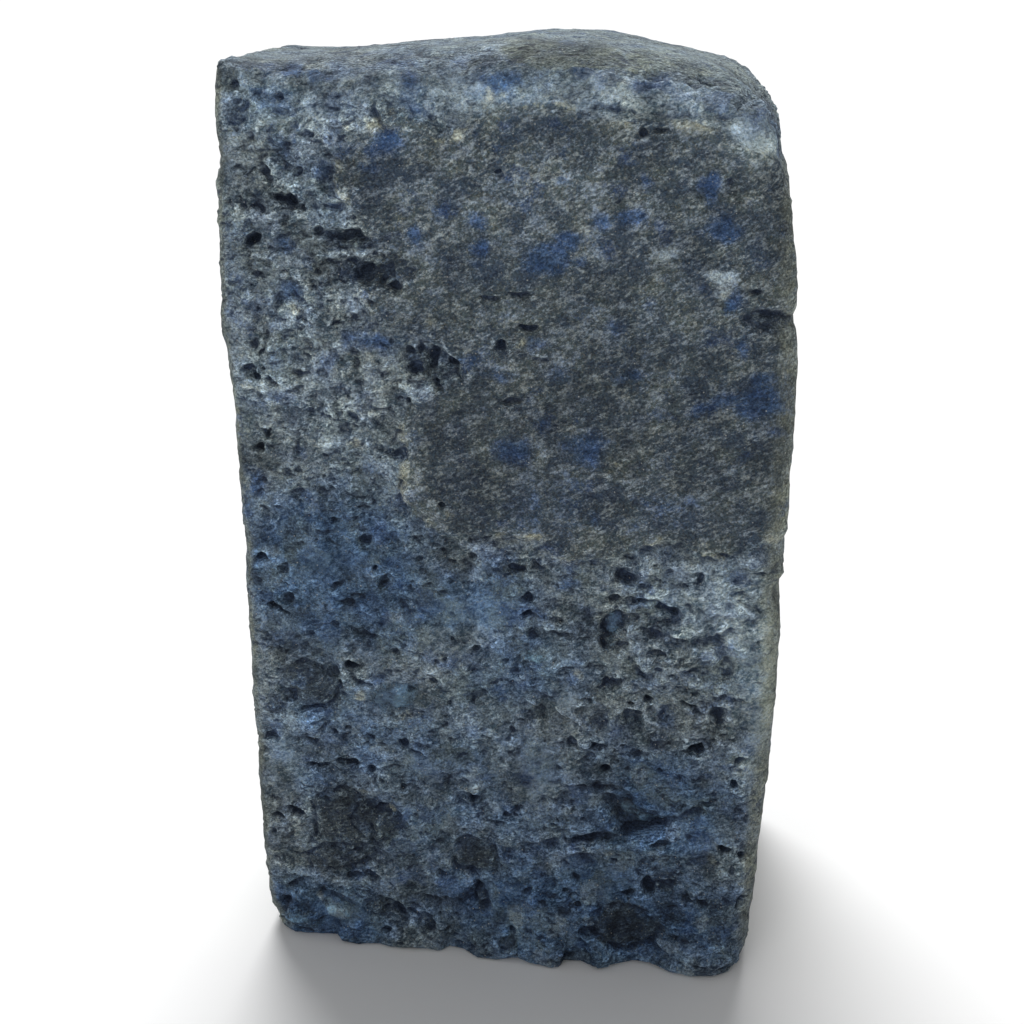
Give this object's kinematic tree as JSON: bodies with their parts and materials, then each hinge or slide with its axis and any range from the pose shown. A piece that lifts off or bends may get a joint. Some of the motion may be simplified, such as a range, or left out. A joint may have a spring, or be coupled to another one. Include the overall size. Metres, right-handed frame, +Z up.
{
  "type": "dyed blue agate rind block",
  "caption": "Upright block of rough, pitted, dyed blue agate rind with a worn crown and a sawn flat base to stand on.",
  "frame": {"origin": "centre of the bounding box at the flat base, on the surface the block stands on", "axes": "+Z up the height of the block, -Y out of the rough front, +X to the right seen from the front"},
  "size_m": [0.0914, 0.064, 0.154],
  "materials": {
    "dyed_rind": "rough, matt, dyed blue-grey"
  },
  "bodies": {
    "root": {"agate_geode": "dyed_rind"}
  },
  "joints": []
}
